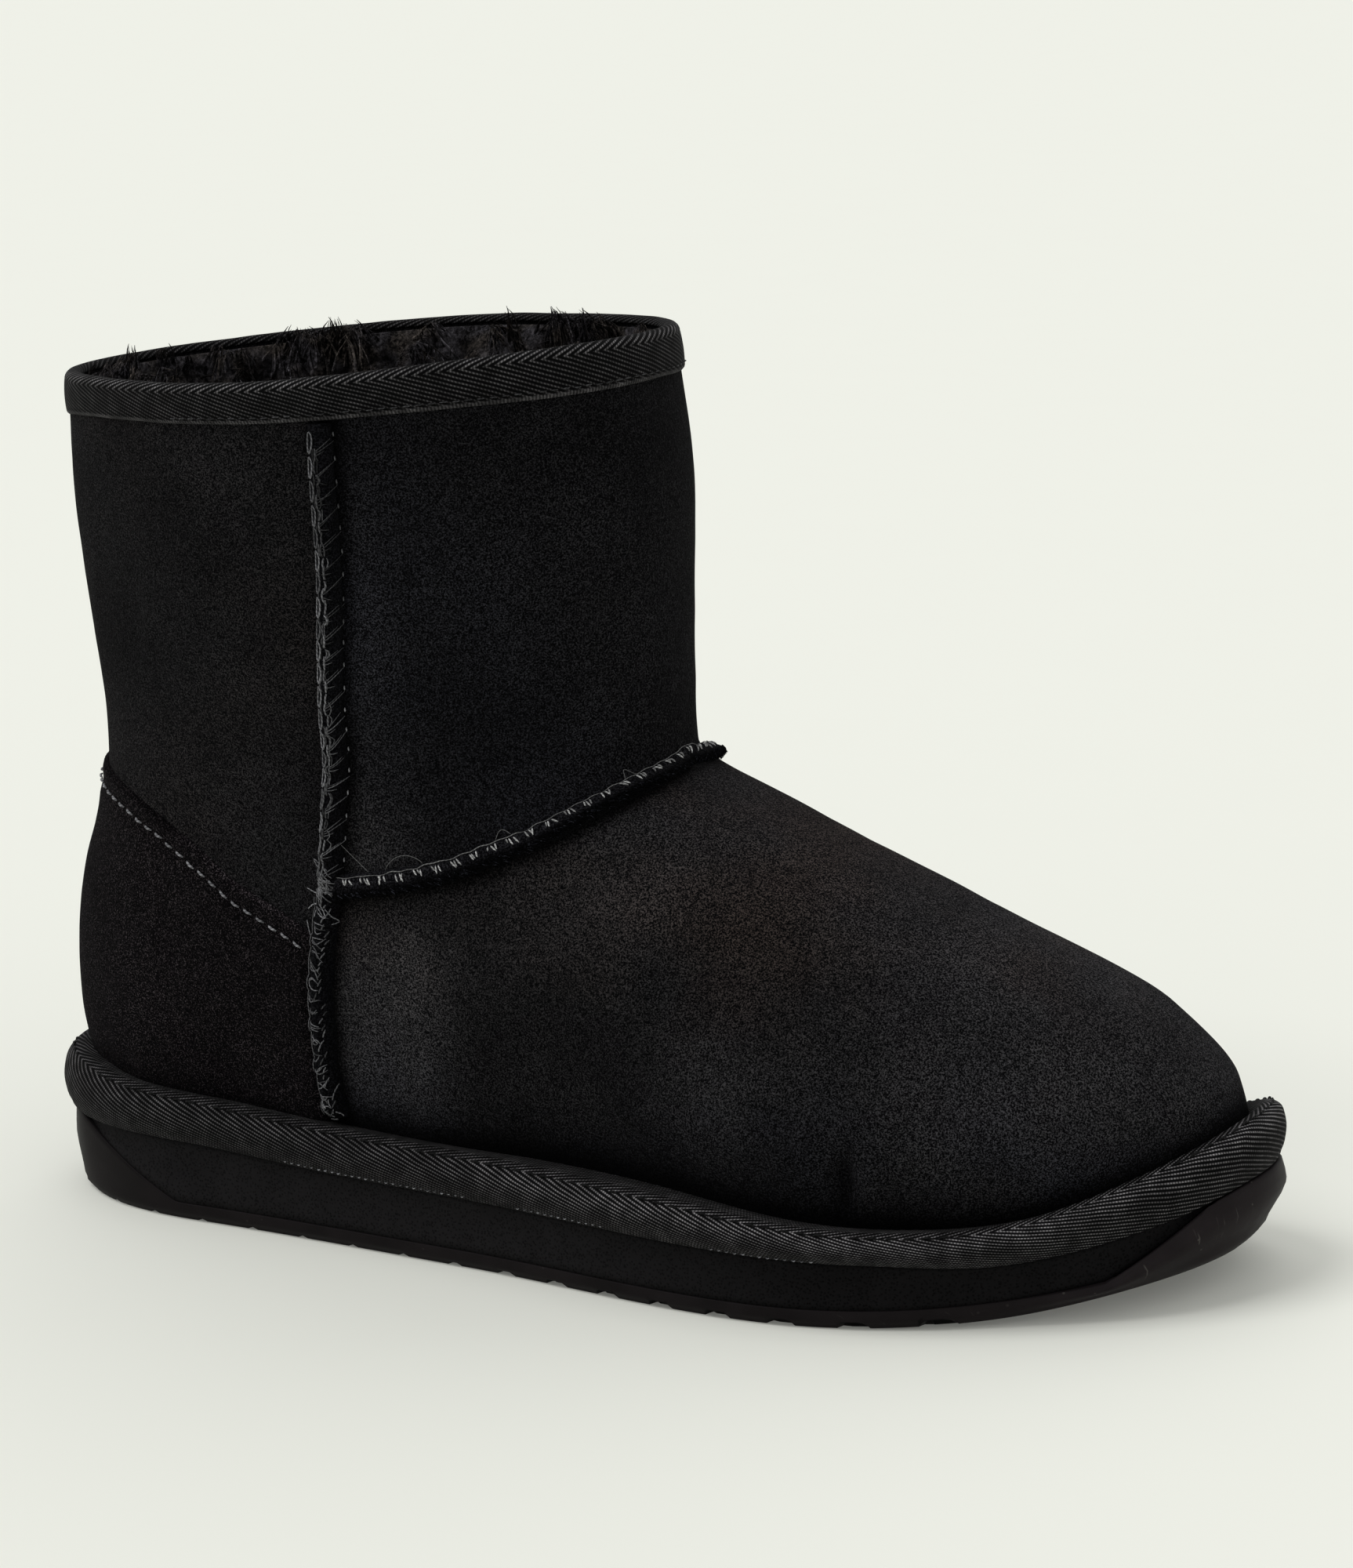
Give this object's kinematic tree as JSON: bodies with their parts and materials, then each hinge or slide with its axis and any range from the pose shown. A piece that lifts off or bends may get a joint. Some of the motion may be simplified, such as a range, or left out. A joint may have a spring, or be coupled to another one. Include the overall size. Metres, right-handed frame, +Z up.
{
  "type": "sheepskin ankle boot",
  "caption": "Pull-on ankle boot with a hollow suede and wool upper, heel counter, raised seams, tape-bound collar and feather edge, and a lugged rubber and foam sole.",
  "frame": {"origin": "on the ground, in the middle of the boot's footprint", "axes": "+X towards the toe, +Y towards the inner side of the right foot, +Z up"},
  "size_m": [0.269, 0.101, 0.1831],
  "materials": {
    "sole_rubber": "smooth satin rubber, lightly scuffed",
    "midsole_foam": "matte foam with fine pores",
    "herringbone_tape": "woven herringbone tape",
    "lining_wool": "deep curly wool",
    "upper_suede": "napped suede",
    "counter_suede": "napped suede",
    "seam_suede": "suede edges with overcast thread"
  },
  "bodies": {
    "root": {"outsole": "sole_rubber", "midsole": "midsole_foam", "welt": "herringbone_tape", "insole": "lining_wool", "upper": "upper_suede", "heel_counter": "counter_suede", "collar_binding": "herringbone_tape", "side_seam_outer": "seam_suede", "side_seam_inner": "seam_suede", "vamp_seam": "seam_suede"}
  },
  "joints": []
}
